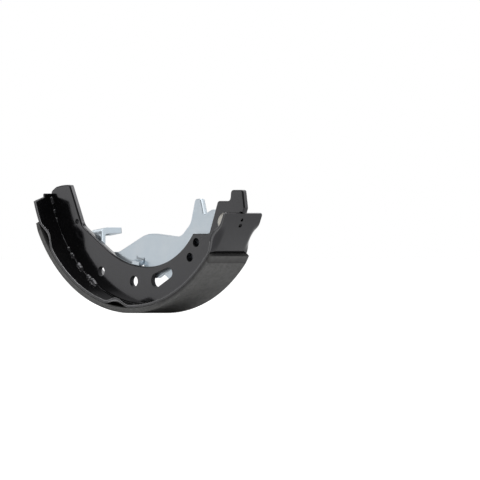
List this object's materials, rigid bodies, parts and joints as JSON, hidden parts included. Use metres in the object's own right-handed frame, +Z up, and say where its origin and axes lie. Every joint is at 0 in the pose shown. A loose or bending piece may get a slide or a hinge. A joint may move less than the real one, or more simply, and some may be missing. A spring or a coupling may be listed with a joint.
{
  "type": "drum brake shoe",
  "caption": "Drum brake shoe: curved friction lining on a rolled table and flat web, with a pinned parking brake lever.",
  "frame": {"origin": "lowest point of the lining's friction face, straight below the drum axis, in the web's middle plane; the drum axis is 114 mm above it", "axes": "+X along the shoe towards the lever's pivot, +Y along the drum axis towards the lever's side of the web, +Z up, from the lining towards the drum axis"},
  "size_m": [0.2121, 0.0439, 0.0959],
  "materials": {
    "friction": "matt, ground friction lining",
    "black_paint": "semi-gloss black dip paint on pressed steel",
    "zinc": "bright bluish zinc plate",
    "pin_zinc": "pale zinc plate",
    "spring_steel": "zinc plated spring steel"
  },
  "bodies": {
    "shoe": {"lining": "friction", "table": "black_paint", "web": "black_paint", "pivot_pin": "pin_zinc", "spring_washer": "spring_steel", "retaining_clip": "spring_steel"},
    "lever": {"parking_lever": "zinc"}
  },
  "joints": [
    {"name": "lever_pivot", "type": "hinge", "parent": "shoe", "child": "lever", "pos_m": [0.08596, 0.00435, 0.06694], "axis": [0, 1, 0], "range_deg": [0, 25]}
  ]
}
